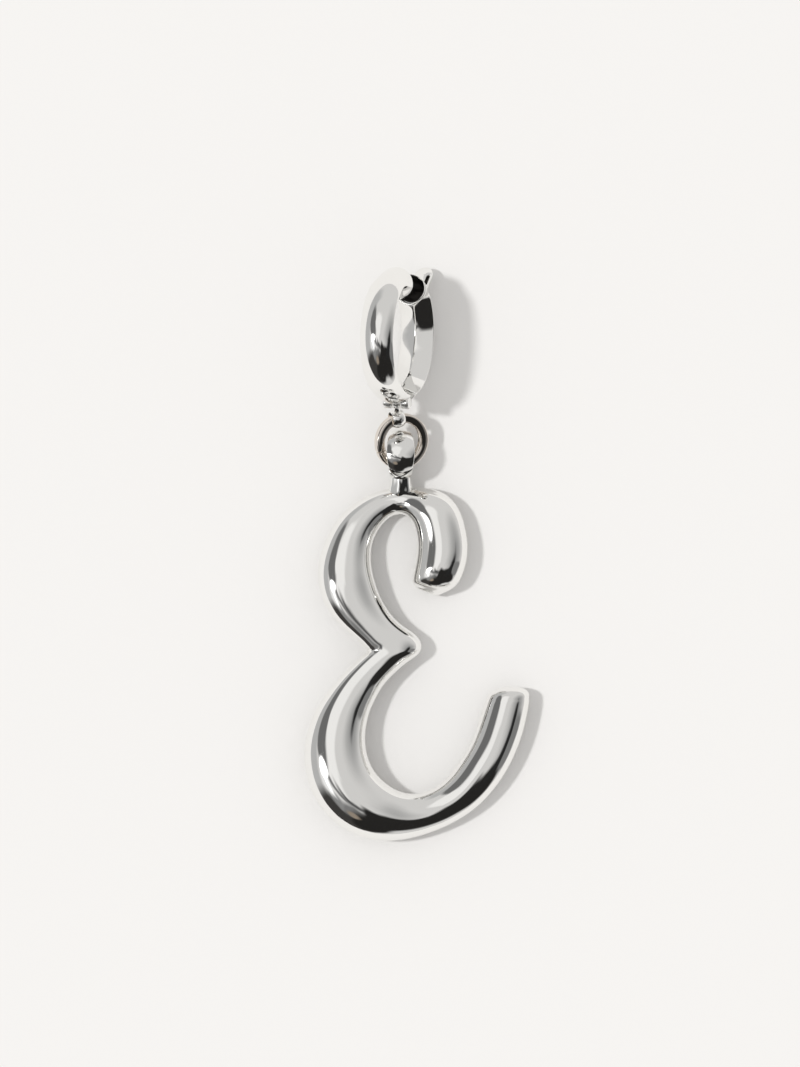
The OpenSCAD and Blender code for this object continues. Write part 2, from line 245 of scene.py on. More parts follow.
def spline(a, b, c, d, t):
    """A smooth value between b and c."""
    return 0.5 * (2 * b + (c - a) * t + (2 * a - 5 * b + 4 * c - d) * t * t
                  + (3 * b - a - 3 * c + d) * t ** 3)


def all_rungs(steps):
    last = len(RUNGS) - 1
    rows = []
    for i in range(last):
        near = [RUNGS[max(0, min(last, i + k))] for k in (-1, 0, 1, 2)]
        rows += [tuple(spline(*column, k / steps) for column in zip(*near)) for k in range(steps)]
    return rows + [RUNGS[last]]


rows = all_rungs(RUNG_STEPS)
print("rungs in the table and in all:", len(RUNGS), len(rows))

# %% [markdown]
# ### Rings and lofts
# Most pieces here are lofts or spun sections. A ring could be typed as a list of vertices and edges,
# but create_circle gives a closed ring at once, and only its points are then moved. Bridging joins
# two rings with faces, and a fan of triangles round a middle point closes an end.

# %% Rings, and the loft through them
def ring_of(bm, places):
    """A closed ring of edges through the given places."""
    ring = bmesh.ops.create_circle(bm, segments=len(places), radius=1.0)["verts"]
    for vert, place in zip(ring, places):
        vert.co = place
    return ring


def ring_edges(ring):
    inside = set(ring)
    return [e for e in {e for v in ring for e in v.link_edges} if set(e.verts) <= inside]


def bridge_all(bm, loops):
    for near, far in zip(loops, loops[1:]):
        bmesh.ops.bridge_loops(bm, edges=near + far)


def loft(bm, rings):
    """Bridges each ring to the next, and closes both ends with a fan."""
    loops = [ring_edges(ring) for ring in rings]
    bridge_all(bm, loops)
    for loop in (loops[0], loops[-1]):
        face = bmesh.ops.contextual_create(bm, geom=loop)["faces"]
        bmesh.ops.poke(bm, faces=face)


def curved(part, power):
    return math.copysign(abs(part) ** power, part)


# %% [markdown]
# ### The stroke's section
# Across the stroke the casting is a puffed ellipse that is cut off flat where it lies. At the waist,
# where the two bowls meet, its outer shoulder is squarer, which shows as a wide pale band in the
# reflections. Each point also keeps its place round and along the stroke as the grain attribute: a
# pattern on plain object coordinates would cut straight across the bends.

# %% One ring of points on a rung
RING_POINTS = 24
# how fast the thickness grows with the rung's length, and the flat back's share of the stroke's
# width, which sets how high the ellipse's middle stands
PUFF, FLAT = 0.75, 0.5
FLAT_LIFT = math.sin(math.acos(FLAT))
# the waist's place (shares of width and height), its reach in mm, and how much squarer it is
WAIST, WAIST_REACH, WAIST_SQUARENESS = (0.28, 0.54), 6.0, 1.2
# the lines' crowding round the stroke, and their length in mm
GRAIN_ROUND, GRAIN_LENGTH = 9.0, 12.0
# a subdivided ring draws in a little from its points, so they are set out by the same share
SET_OUT = 3 / (2 + math.cos(2 * math.pi / RING_POINTS))


def stroke_ring(bm, row, ahead=(0, 0), size=1.0):
    """A ring on a rung; its points keep their place round and along the stroke as the grain."""
    across, up, length, lean, full = row
    away = math.hypot((across - WAIST[0]) * LETTER_W, (up - WAIST[1]) * LETTER_H)
    outer_power = 2 / (2 + WAIST_SQUARENESS * math.exp(-(away / WAIST_REACH) ** 2))
    lean = math.radians(lean)
    half_w = length * STROKE_W / 2
    half_t = LETTER_T * full ** PUFF / (1 + FLAT_LIFT)
    side = Vector((math.cos(lean), math.sin(lean), 0))
    middle = CORNER + Vector((across * LETTER_W + ahead[0], up * LETTER_H + ahead[1], FLAT_LIFT * half_t))
    middle += half_w * side
    size *= SET_OUT
    places = []
    for k in range(RING_POINTS):
        a = 2 * math.pi * k / RING_POINTS
        power = outer_power if math.cos(a) < 0 else 1
        place = middle + side * half_w * size * curved(math.cos(a), power)
        place.z = max(0.0, place.z + half_t * size * curved(math.sin(a), power))
        places.append(place)
    ring = ring_of(bm, places)
    grain = bm.verts.layers.float_vector["grain"]
    for k, vert in enumerate(ring):
        turn = 2 * math.pi * k / RING_POINTS
        vert[grain] = (GRAIN_ROUND * math.cos(turn), GRAIN_ROUND * math.sin(turn),
                       (middle.x + middle.y) / GRAIN_LENGTH)
    return ring


# %% The rounded ends of the stroke
# reach in mm and heading in degrees of the hook's end and of the foot's end
HOOK_END, FOOT_END = (0.2, 255), (1.15, 78)
END_STEPS, END_POWER = 5, 2.5
# the last ring stops short of the very end by this part of a step, and the fan closes it
END_SHORT = 0.4


def end_rings(bm, row, reach, heading):
    """Rings that shrink ahead of a rung, so that the stroke ends in a blunt dome."""
    heading = math.radians(heading)
    rings = []
    for k in range(1, END_STEPS):
        t = math.sin(math.radians(90 * k / (END_STEPS - END_SHORT)))
        ahead = (reach * t * math.cos(heading), reach * t * math.sin(heading))
        rings.append(stroke_ring(bm, row, ahead, (1 - t ** END_POWER) ** (1 / END_POWER)))
    return rings


# %% The lofted letter
bm = bmesh.new()
bm.verts.layers.float_vector.new("grain")
hook = end_rings(bm, rows[0], *HOOK_END)
foot = end_rings(bm, rows[-1], *FOOT_END)
loft(bm, hook[::-1] + [stroke_ring(bm, row) for row in rows] + foot)
finish_piece(bm, "letter_form", "pendant", letter_silver, "letter")

# %% [markdown]
# ## The loop on the letter
# A broad domed band bent into a ring and soldered upright on the crown, its hole facing sideways.
# It is a section spun about an axis, which is how the band was bent, and then it is drawn in: to
# the neck's width where it runs down into its neck, and a little at its far end, which looks round
# from above. A curve with a bevel could do it too, but a spun section keeps its points under control.

# %% A band's section
DOME_STEPS = 6
INNER_SHARES = (0.93, 0.7, 0.35, 0.1, 0, -0.1, -0.35, -0.7, -0.93)
# a plain inner face is a shallow hollow, and a ridged one rises nearly straight to its middle
HOLLOW_POWER, RIDGE_POWER = 2, 1.15


def band_profile(in_r, wall, band, edge, ridge=0.0):
    """Places round a band's section, as (distance from the axis, place along it)."""
    rise = wall - edge
    arc_r = ((band / 2) ** 2 + rise ** 2) / (2 * rise)
    spread = math.asin(min(1.0, band / 2 / arc_r))
    angles = [spread * k / DOME_STEPS for k in range(-DOME_STEPS, DOME_STEPS + 1)]
    dome = [(in_r + wall - arc_r + arc_r * math.cos(a), arc_r * math.sin(a)) for a in angles]
    power = RIDGE_POWER if ridge else HOLLOW_POWER
    inner = [(in_r - ridge + (edge + ridge) * abs(share) ** power, band / 2 * share)
             for share in INNER_SHARES]
    return dome + inner


print("points round a band:", len(band_profile(1.0, 0.5, 2.0, 0.1)))


# %% Spinning a section, and closing its ends
def spun(bm, profile, from_deg, to_deg, step_deg):
    """Spins a section about the Z axis, and returns the loops of edges at its two ends."""
    start = Matrix.Rotation(math.radians(from_deg), 3, "Z")
    ring = ring_of(bm, [start @ Vector((r, 0, s)) for r, s in profile])
    loop = ring_edges(ring)
    sweep = abs(to_deg - from_deg)
    made = bmesh.ops.spin(bm, geom=ring + loop, axis=(0, 0, 1), cent=(0, 0, 0),
                          angle=math.radians(to_deg - from_deg), steps=round(sweep / step_deg),
                          use_merge=sweep >= 360)
    last = [item for item in made["geom_last"] if isinstance(item, bmesh.types.BMEdge)]
    return loop, last


def close_with_rim(bm, loop, rim=0.05):
    """Closes a loop with a face that has a narrow border, so that its edge stays crisp."""
    face = bmesh.ops.contextual_create(bm, geom=loop)["faces"]
    bmesh.ops.inset_region(bm, faces=face, thickness=rim)
    bmesh.ops.poke(bm, faces=face)


# %% The loop
LOOP_OD, LOOP_WALL, LOOP_BAND, LOOP_EDGE, LOOP_STEP = 4.3, 0.65, 2.4, 0.4, 10
LOOP_AT = Vector((-1.341, 8.322, LOOP_OD / 2))
NECK_D = 1.7
NEAR_NARROWING, FAR_NARROWING = 1 - NECK_D / LOOP_BAND, 0.5
bm = bmesh.new()
spun(bm, band_profile(LOOP_OD / 2 - LOOP_WALL, LOOP_WALL, LOOP_BAND, LOOP_EDGE), 0, 360, LOOP_STEP)
stand = Matrix.Translation(LOOP_AT) @ Matrix.Rotation(math.radians(90), 4, "Y")
bmesh.ops.transform(bm, matrix=stand, verts=bm.verts)
for vert in bm.verts:
    down = min(1.0, max(0.0, (LOOP_AT.y - vert.co.y) / (LOOP_OD / 2)))
    ahead = min(1.0, max(0.0, (vert.co.y - LOOP_AT.y) / (LOOP_OD / 2)))
    narrowing = NEAR_NARROWING * down ** 1.5 + FAR_NARROWING * ahead ** 3
    vert.co.x = LOOP_AT.x + (vert.co.x - LOOP_AT.x) * (1 - narrowing)
finish_piece(bm, "letter_loop", "pendant", loop_silver)

# %% [markdown]
# ### The neck
# Between the loop and the crown is a short stem, thickened by solder and filed smooth, which left
# shallow flutes along it. A cone could stand there, but a loft of a few circles can be thick at the
# crown, slim under the loop, and fluted by moving each circle's points in and out.

# %% The neck, soldered into the crown
# place up the letter, radius, and height of the middle over the paper
NECK_RINGS = [(4.4, 0.9, 0.95), (5.0, 1.05, 1.09), (5.4, 1.03, 1.17), (5.8, 0.93, 1.36), (6.2, 0.9, 1.45),
              (6.7, 0.86, 1.54)]
NECK_POINTS, FLUTES, FLUTE = 40, 7, 0.035
bm = bmesh.new()
neck = []
for up, radius, height in NECK_RINGS:
    ring = bmesh.ops.create_circle(bm, segments=NECK_POINTS, radius=radius)["verts"]
    for k, vert in enumerate(ring):
        vert.co *= 1 + FLUTE * math.cos(FLUTES * 2 * math.pi * k / NECK_POINTS + up)
    lay = Matrix.Translation((LOOP_AT.x, up, height)) @ Matrix.Rotation(math.radians(90), 4, "X")
    bmesh.ops.transform(bm, matrix=lay, verts=ring)
    neck.append(ring)
loft(bm, neck)
finish_piece(bm, "letter_neck", "pendant", loop_silver)

# %% [markdown]
# ## The jump ring
# A ring of wire, cut and closed again. Its cut shows at the left, with one end a hair higher. A torus
# would have no cut, so a small circle is spun almost all the way round, and the cut is a real gap.
# Pliers and the tumbler have flattened the wire's sides a little, which gives the ring its broad
# black faces between pale rims.

# %% A wire's section
def round_profile(centre, radius, count, power=1.0):
    """Places round a wire's section; a power under 1 flattens its sides."""
    turns = [2 * math.pi * (k + 0.5) / count for k in range(count)]
    return [(centre + radius * curved(math.cos(a), power), radius * curved(math.sin(a), power))
            for a in turns]


print("points round a wire:", len(round_profile(1.0, 0.5, 16)))

# %% The jump ring
RING_OD, RING_WIRE = 4.75, 0.8
RING_R = (RING_OD - RING_WIRE) / 2
RING_AT = Vector((-1.281, 9.373, 2.561))
RING_TIP, RING_ROLL = 23, 12
WIRE_POINTS, WIRE_POWER, WIRE_STEP = 16, 0.55, 8
# where the cut is and how wide, in degrees, and how far its ends stand apart in mm: the wire comes
# out of its plane only near the cut
CUT_AT, CUT_GAP, CUT_STEP, CUT_POWER = 205, 1.6, 0.07, 5
turn_to_ring = (Matrix.Rotation(math.radians(RING_TIP), 4, "Y")
                @ Matrix.Rotation(math.radians(RING_ROLL), 4, "X"))
wire_profile = round_profile(RING_R, RING_WIRE / 2, WIRE_POINTS, WIRE_POWER)
bm = bmesh.new()
for loop in spun(bm, wire_profile, CUT_AT, CUT_AT + 360 - CUT_GAP, WIRE_STEP):
    close_with_rim(bm, loop)
for vert in bm.verts:
    round_it = (math.degrees(math.atan2(vert.co.y, vert.co.x)) - CUT_AT) % 360 / 180 - 1
    vert.co.z += CUT_STEP * round_it ** CUT_POWER
bmesh.ops.transform(bm, matrix=Matrix.Translation(RING_AT) @ turn_to_ring, verts=bm.verts)
finish_piece(bm, "jump_ring_wire", "pendant", wire_silver, "jump_ring")

# %% [markdown]
# ## The clip's hoop
# The clip is a hoop of domed band in two halves. Both are spun in the hoop's own frame, where the
# axis is Z, +X is its low side and +Y its top, and then they are laid in place with one matrix: it
# is far easier to shape a ring that stands square than one that leans.

# %% The hoop's sizes and its place
HOOP_OD, HOOP_WALL, HOOP_BAND, HOOP_EDGE, HOOP_STEP = 11.5, 1.1, 3.0, 0.25, 7.5
HOOP_IN_R = HOOP_OD / 2 - HOOP_WALL
HOOP_AT, HOOP_TURN, HOOP_LEAN = Vector((-1.626, 18.078, 5.554)), -2.5, 70
DOME_R = ((HOOP_BAND / 2) ** 2 + (HOOP_WALL - HOOP_EDGE) ** 2) / (2 * (HOOP_WALL - HOOP_EDGE))
hoop_profile = band_profile(HOOP_IN_R, HOOP_WALL, HOOP_BAND, HOOP_EDGE)
lay_hoop = (Matrix.Translation(HOOP_AT) @ Matrix.Rotation(math.radians(HOOP_TURN), 4, "Z")
            @ Matrix.Rotation(math.radians(HOOP_LEAN), 4, "Y"))


def laid_clip_piece(bm, name, body, node=None, smoothing=2, material=clip_silver):
    bmesh.ops.transform(bm, matrix=lay_hoop, verts=bm.verts)
    finish_piece(bm, name, body, material, node, smoothing)


def dome_height(s):
    """How far from the hoop's axis the dome is, at a place along that axis."""
    return HOOP_OD / 2 - DOME_R + math.sqrt(DOME_R ** 2 - s ** 2)


print("the dome's radius, and its edge's distance from the axis:", round(DOME_R, 3),
      round(dome_height(HOOP_BAND / 2), 3))

# %% Keeping rings inside the hoop, and turning their points
def under_dome(place, skin=0.0):
    """Draws a place in towards the hoop's axis until it is a skin's depth under the dome."""
    limit = dome_height(min(abs(place.z), HOOP_BAND / 2)) - skin
    pull = min(1.0, limit / math.hypot(place.x, place.y))
    return Vector((place.x * pull, place.y * pull, place.z))


def clock(r, s):
    """A section's point as an angle about the section's middle."""
    return math.atan2(s, r - HOOP_IN_R - HOOP_WALL / 2)


print("a point 7 mm out is drawn in to:", round(under_dome(Vector((7, 0, 0))).x, 2))


# %% [markdown]
# ### The swinging half
# The gate is a plain arc of the band, but its tip is a blunt round knob that covers the catch. The
# arc is spun, and the tip goes on as a loft, each ring of it a blend between the strip's section
# and a circle. Shaping it by hand in the viewport would work too, but these few rings say exactly
# how fast the strip becomes round.

# %% The gate's band and its tip
GATE_TOP, STRIP_END, GATE_END = 98.5, 134, 270.6
TIP_AT, TIP_R, TIP_RIM = 4.3, 1.45, 0.12
# the angle of each ring of the tip, and how round it is
TIP_RINGS = ((127, 0.06), (120, 0.28), (113, 0.62), (106, 0.88), (100.5, 0.97), (GATE_TOP, 0.97))


def tip_ring(bm, angle, share):
    """A ring between the strip's section and the round section of the gate's tip."""
    turn = Matrix.Rotation(math.radians(angle), 3, "Z")
    places = []
    for r, s in hoop_profile:
        strip = Vector((r, 0, s))
        tip = Vector((TIP_AT + TIP_R * math.cos(clock(r, s)), 0, TIP_R * math.sin(clock(r, s))))
        places.append(under_dome(turn @ strip.lerp(tip, share)))
    return ring_of(bm, places)


bm = bmesh.new()
near, far = spun(bm, hoop_profile, GATE_END, STRIP_END, HOOP_STEP)
close_with_rim(bm, near)
tips = [tip_ring(bm, angle, share) for angle, share in TIP_RINGS]
loops = [far] + [ring_edges(ring) for ring in tips]
bridge_all(bm, loops)
close_with_rim(bm, loops[-1], TIP_RIM)
laid_clip_piece(bm, "gate_band", "gate", "clip_gate")

# %% [markdown]
# ### The fixed half and its socket
# The fixed half ends in a round socket that the catch post drops into. Its band swells from a
# domed strip to a cup, so the spun arc goes on as a loft: each further ring is a blend of the
# strip's section and the cup's circle, and the last rings turn back into the hole. A Boolean could
# cut the hole, but a loft leaves no sharp seam to catch the light. Inside, the band rises to a low
# ridge along its middle, which splits the reflections there into a left and a right half.

# %% The fixed half and its socket
SOCKET_R, SOCKET_WALL, SOCKET_X, SOCKET_Y = 1.275, 0.2, 2.406, 4.038
CUP_R = SOCKET_R + SOCKET_WALL
BODY_END, BODY_TURN, BODY_RIDGE = 284.3, 36, 0.38
# the angle of each ring where the strip swells, and its share of the cup
SWELLING = ((42, 0.12), (48, 0.45), (54, 0.8))
# the cup's rings: radius, distance back from the mouth, and depth under the dome
MOUTH = ((CUP_R, 0.35, 0.0), (CUP_R, 0.04, 0.0), (SOCKET_R + 0.6 * SOCKET_WALL, 0.0, 0.06),
         (SOCKET_R + 0.1 * SOCKET_WALL, 0.06, 0.13))


def cup_point(radius, x, r, s):
    """A section's point, moved to a circle about the socket's axis."""
    return Vector((x, SOCKET_Y + radius * math.cos(clock(r, s)), radius * math.sin(clock(r, s))))


def socket_ring(bm, radius, back, skin):
    places = [under_dome(cup_point(radius, SOCKET_X + back, r, s), skin) for r, s in hoop_profile]
    return ring_of(bm, places)


def swelling_ring(bm, angle, share):
    """A ring between the strip's section at an angle and the cup's circle above it."""
    turn = Matrix.Rotation(math.radians(angle), 3, "Z")
    x = HOOP_IN_R * math.cos(math.radians(angle))
    places = [under_dome((turn @ Vector((r, 0, s))).lerp(cup_point(CUP_R, x, r, s), share))
              for r, s in hoop_profile]
    return ring_of(bm, places)


bm = bmesh.new()
ridged_profile = band_profile(HOOP_IN_R, HOOP_WALL, HOOP_BAND, HOOP_EDGE, ridge=BODY_RIDGE)
foot_loop, top_loop = spun(bm, ridged_profile, BODY_END - 360, BODY_TURN, HOOP_STEP)
close_with_rim(bm, foot_loop)
swell = [swelling_ring(bm, angle, share) for angle, share in SWELLING]
mouth = [socket_ring(bm, radius, back, skin) for radius, back, skin in MOUTH]
bridge_all(bm, [top_loop] + [ring_edges(ring) for ring in swell + mouth])
laid_clip_piece(bm, "body_band", "pendant", "clip_body")

# %% [markdown]
# ### The socket's lining
# The socket's wall and floor get a near-black silver, which is painted shade for the deep socket,
# rough because no wheel reaches in. It could be a second material on the same mesh, but the edge
# between the finishes would then follow the subdivided faces. A small cup of its own, just inside
# the mouth, keeps that edge crisp.

# %% The socket's lining, in painted shade
LINING = ((1.3, 0.05, 0.12), (1.26, 0.12, 0.15), (1.26, 0.7, 0.16), (1.1, 1.1, 0.25))
bm = bmesh.new()
loops = [ring_edges(socket_ring(bm, radius, back, skin)) for radius, back, skin in LINING]
bridge_all(bm, loops)
close_with_rim(bm, loops[-1])
laid_clip_piece(bm, "socket_shade_lining", "pendant", material=painted_shade_silver)

# %% [markdown]
# ### The catch's post
# A short pin under the gate's tip drops into the socket when the clip is closed. It is a loft of
# circles with its ends rounded over, and the same rod is used again for the knuckles and the pin.
# A cylinder with a bevel would do as well, but here the ends' shape is written in one line.

# %% A rod with rounded ends
def rod(bm, radius, start, end, tip=0.1, count=16):
    """A round rod between two places, its ends rounded over by tip."""
    axis = end - start
    long = axis.length
    lay = Matrix.Translation(start) @ axis.to_track_quat("Z", "Y").to_matrix().to_4x4()
    rings = []
    for share, along in ((0.45, 0), (0.85, 0.15 * tip), (1, tip), (1, long - tip),
                         (0.85, long - 0.15 * tip), (0.45, long)):
        ring = bmesh.ops.create_circle(bm, segments=count, radius=radius * share)["verts"]
        bmesh.ops.transform(bm, matrix=lay @ Matrix.Translation((0, 0, along)), verts=ring)
        rings.append(ring)
    loft(bm, rings)


# %% The catch's post
POST_R, POST_Y, POST_ROOT, POST_REACH, POST_TIP = 0.3, 3.656, -1.6, 0.6, 0.2
bm = bmesh.new()
rod(bm, POST_R, Vector((POST_ROOT, POST_Y, 0)), Vector((SOCKET_X + POST_REACH, POST_Y, 0)), tip=POST_TIP)
laid_clip_piece(bm, "catch_post", "gate")

# %% [markdown]
# ## The thumb tab
# A small plate with a round end stands out from the fixed half, for the thumb, and it is pierced by
# a slot. Its outline and the slot's are two rings that triangle_fill joins into one flat face with a
# hole, which is then extruded and bevelled. A Boolean for the slot would leave the same plate with
# worse edges. The hoop's band shows dark at the bottom of the slot, so a thin near-black sheet lies in it
# as painted shadow.

# %% The outlines of the tab and of its slot
TAB_AT, TAB_REACH, TAB_W, TAB_T, TAB_SHIFT = 47, 2.1, 1.5, 0.45, 0.39
TAB_ROOT = (6.4, 5.8, 5.2)
SLOT_W, SLOT_LEN, SLOT_SHIFT = 0.3, 1.2, 0.46
tab_round = HOOP_OD / 2 + TAB_REACH - TAB_W / 2
half_turn = [math.radians(90 - 15 * k) for k in range(13)]
outline = [(tab_round + TAB_W / 2 * math.cos(a), TAB_W / 2 * math.sin(a)) for a in half_turn]
outline += [(x, -TAB_W / 2) for x in TAB_ROOT] + [(x, TAB_W / 2) for x in TAB_ROOT[::-1]]
slot_ends = (HOOP_OD / 2 + SLOT_W / 2, HOOP_OD / 2 + SLOT_LEN - SLOT_W / 2)
slot = [(slot_ends[1] + SLOT_W / 2 * math.cos(a), SLOT_SHIFT + SLOT_W / 2 * math.sin(a))
        for a in half_turn[::2]]
slot += [(slot_ends[0] - SLOT_W / 2 * math.cos(a), SLOT_SHIFT - SLOT_W / 2 * math.sin(a))
         for a in half_turn[::2]]
seat = (Matrix.Rotation(math.radians(TAB_AT), 4, "Z") @ Matrix.Rotation(math.radians(90), 4, "X")
        @ Matrix.Translation((0, TAB_SHIFT, 0)))
print("points round the tab and round its slot:", len(outline), len(slot))

# %% The thumb tab
SHARP, TAB_BEVEL, BEVEL_STEPS = 1.2, 0.07, 3


def thicken(bm, thickness):
    """Raises a copy of the flat faces, with walls between it and them."""
    raised = bmesh.ops.extrude_face_region(bm, geom=bm.faces[:], use_keep_orig=True)["geom"]
    raised_verts = [v for v in raised if isinstance(v, bmesh.types.BMVert)]
    bmesh.ops.translate(bm, vec=(0, 0, thickness), verts=raised_verts)


bm = bmesh.new()
loops = [ring_edges(ring_of(bm, [Vector((x, y, -TAB_T / 2)) for x, y in places]))
         for places in (outline, slot)]
bmesh.ops.triangle_fill(bm, edges=loops[0] + loops[1], use_beauty=True)
thicken(bm, TAB_T)
bmesh.ops.recalc_face_normals(bm, faces=bm.faces)
bmesh.ops.bevel(bm, geom=[e for e in bm.edges if e.calc_face_angle(0) > SHARP], offset=TAB_BEVEL,
                segments=BEVEL_STEPS, profile=0.5, affect="EDGES", material=-1)
bmesh.ops.transform(bm, matrix=seat, verts=bm.verts)
laid_clip_piece(bm, "thumb_tab", "pendant", smoothing=0)

# %% The slot's painted shadow
SHADOW_SHEET_T = 0.05
bm = bmesh.new()
shadow_sheet_ring = ring_of(bm, [Vector((x, y, 0)) for x, y in slot])
bmesh.ops.contextual_create(bm, geom=ring_edges(shadow_sheet_ring))
thicken(bm, SHADOW_SHEET_T)
bmesh.ops.translate(bm, vec=(0, 0, -SHADOW_SHEET_T / 2), verts=bm.verts)
bmesh.ops.transform(bm, matrix=seat, verts=bm.verts)
laid_clip_piece(bm, "slot_shadow_sheet", "pendant", smoothing=0, material=painted_shade_silver)

# %% [markdown]
# ## The hinge
# Three knuckles turn on one pin: the middle one belongs to the gate and the outer two to the fixed
# half. Each is a rod along the hoop's axis, carried by a narrow lane cut from the hoop's own band,
# so that the hoop looks whole where it is cut. The lanes are spun from a slice of the band's section.
# They could be cut out of the band with Booleans, but a slice keeps the dome's curve exactly.

# %% A lane of the band
LANE_STEPS, LANE_SKIN, LANE_LIFT, LANE_RIM, LANE_STEP = 4, 0.02, 0.04, 0.03, 3


def lane_profile(low, high):
    """The part of the hoop's section that lies between two places along the hoop's axis."""
    stops = [low + (high - low) * k / LANE_STEPS for k in range(LANE_STEPS + 1)]
    dome = [(dome_height(s) - LANE_SKIN, s) for s in stops]
    return dome + [(HOOP_IN_R + LANE_LIFT + HOOP_EDGE * (2 * s / HOOP_BAND) ** 2, s) for s in stops[::-1]]


print("points round a lane:", len(lane_profile(-1, 1)))

# %% The three knuckles
KNUCKLE_R, KNUCKLE_TIP, KNUCKLE_POINTS = 0.55, 0.07, 20
HINGE_AT, LANE_FROM, LANE_TO, GATE_LANE_TO = 277, 280.8, 287, 268
PIN_AT = Vector((0.6766, -5.5106, 0))
# name, body, the knuckle's ends, its lane's sides, and the angles that the lane runs between
KNUCKLES = (
    ("gate_knuckle", "gate", -0.307, 0.307, (-0.307, 0.307), HINGE_AT, GATE_LANE_TO),
    ("near_knuckle", "pendant", 0.387, 1.15, (0.387, 1.44), LANE_FROM, LANE_TO),
    ("far_knuckle", "pendant", -1.15, -0.387, (-1.44, -0.387), LANE_FROM, LANE_TO),
)
for name, body, low, high, lane, lane_from, lane_to in KNUCKLES:
    bm = bmesh.new()
    rod(bm, KNUCKLE_R, PIN_AT + Vector((0, 0, low)), PIN_AT + Vector((0, 0, high)),
        tip=KNUCKLE_TIP, count=KNUCKLE_POINTS)
    for loop in spun(bm, lane_profile(*lane), lane_from, lane_to, LANE_STEP):
        close_with_rim(bm, loop, LANE_RIM)
    laid_clip_piece(bm, name, body, material=satin_silver)

# %% The hinge's pin
PIN_R, PIN_HALF, PIN_TIP, PIN_POINTS = 0.225, 1.03, 0.05, 14
bm = bmesh.new()
rod(bm, PIN_R, PIN_AT - Vector((0, 0, PIN_HALF)), PIN_AT + Vector((0, 0, PIN_HALF)),
    tip=PIN_TIP, count=PIN_POINTS)
bmesh.ops.transform(bm, matrix=lay_hoop, verts=bm.verts)
finish_piece(bm, "hinge_pin_rivet", "pendant", wire_silver, "hinge_pin")

# %% [markdown]
# ## The eye that holds the jump ring
# A short tube stands on a flared post under the hinge, and the jump ring runs through it, so it is
# turned square to the ring's wire. The tube is a small band spun all round, and the post is a loft
# of circles that is thin at the eye and thick in the hoop, where the solder has run round it.

# %% The eye
EYE_AT, EYE_TWIST = Vector((-1.659, 11.230, 3.119)), 12
EYE_BORE_R, EYE_WALL, EYE_BAND, EYE_EDGE, EYE_STEP = 0.54, 0.26, 1.1, 0.1, 15
bm = bmesh.new()
spun(bm, band_profile(EYE_BORE_R, EYE_WALL, EYE_BAND, EYE_EDGE), 0, 360, EYE_STEP)
lay_eye = (Matrix.Translation(EYE_AT) @ turn_to_ring @ Matrix.Rotation(math.radians(EYE_TWIST), 4, "Z")
           @ Matrix.Rotation(math.radians(90), 4, "Y"))
bmesh.ops.transform(bm, matrix=lay_eye, verts=bm.verts)
finish_piece(bm, "clip_eye", "pendant", clip_silver)

# %% The eye's flared post
# the post's seat in the hoop: distance from the axis, angle, and place along the axis
SEAT_R, SEAT_AT, SEAT_ALONG = 5.2, math.radians(288), -0.39
POST_POINTS = 16
eye_seat = lay_hoop @ Vector((SEAT_R * math.cos(SEAT_AT), SEAT_R * math.sin(SEAT_AT), SEAT_ALONG))
reach = eye_seat - EYE_AT
lay = Matrix.Translation(EYE_AT) @ reach.normalized().to_track_quat("Z", "Y").to_matrix().to_4x4()
# radius, and distance from the eye's middle
FLARE = ((0.2, 0.6), (0.34, 0.66), (0.3, 0.85), (0.36, 1.1), (0.5, 1.4), (0.45, reach.length))
bm = bmesh.new()
flare = []
for radius, along in FLARE:
    ring = bmesh.ops.create_circle(bm, segments=POST_POINTS, radius=radius)["verts"]
    bmesh.ops.transform(bm, matrix=lay @ Matrix.Translation((0, 0, along)), verts=ring)
    flare.append(ring)
loft(bm, flare)
finish_piece(bm, "eye_post", "pendant", clip_silver)

# %% [markdown]
# ## The seam inside the hoop
# Where the two halves of its mould met, the casting has a thin raised line along the inside of the
# fixed half, which the wheel doesn't reach. It is so fine that a bump could draw it, but it throws
# small reflections of its own, so it is a real wire of metal, half sunk into the band.

# %% The seam's ridge inside the fixed half
SEAM_R, SEAM_POINTS, SEAM_FROM, SEAM_TO, SEAM_STEP, SEAM_RIM = 0.075, 8, -72, 38, 5, 0.01
bm = bmesh.new()
for loop in spun(bm, round_profile(HOOP_IN_R, SEAM_R, SEAM_POINTS), SEAM_FROM, SEAM_TO, SEAM_STEP):
    close_with_rim(bm, loop, SEAM_RIM)
laid_clip_piece(bm, "seam_ridge", "pendant", smoothing=1, material=wire_silver)

# %% [markdown]
# ## The floor
# The pendant lies on white paper with a fine tooth. A plain grid is enough for it, because its
# tooth is far too small to stand up at its edge and can be a bump. The paper isn't part of the
# object, so it is kept apart from the pendant's bodies.

# %% The floor
PAPER, FLOOR_HALF = (0.8, 0.788, 0.772, 1.0), 1.5
TOOTH_SCALE, TOOTH_DETAIL, TOOTH_STRENGTH, TOOTH_DEPTH = 900.0, 3.0, 0.2, 0.02
paper = bpy.data.materials.new("paper")
recipe = Recipe(paper)
place = recipe.add("ShaderNodeTexCoord", out="Object")
tooth = recipe.add("ShaderNodeTexNoise", {},
                   {"Vector": place, "Scale": TOOTH_SCALE, "Detail": TOOTH_DETAIL})
surface = recipe.add("ShaderNodeBump", {},
                     {"Height": tooth, "Strength": TOOTH_STRENGTH, "Distance": TOOTH_DEPTH * MM})
matte = recipe.add("ShaderNodeBsdfDiffuse", {}, {"Color": PAPER, "Normal": surface})
recipe.add("ShaderNodeOutputMaterial", {}, {"Surface": matte})
bm = bmesh.new()
bmesh.ops.create_grid(bm, x_segments=1, y_segments=1, size=FLOOR_HALF)
mesh = bpy.data.meshes.new("floor")
bm.to_mesh(mesh)
bm.free()
mesh.materials.append(paper)
floor = bpy.data.objects.new("floor", mesh)
bpy.context.scene.collection.objects.link(floor)
print("floor, metres across:", round(floor.dimensions.x, 2))

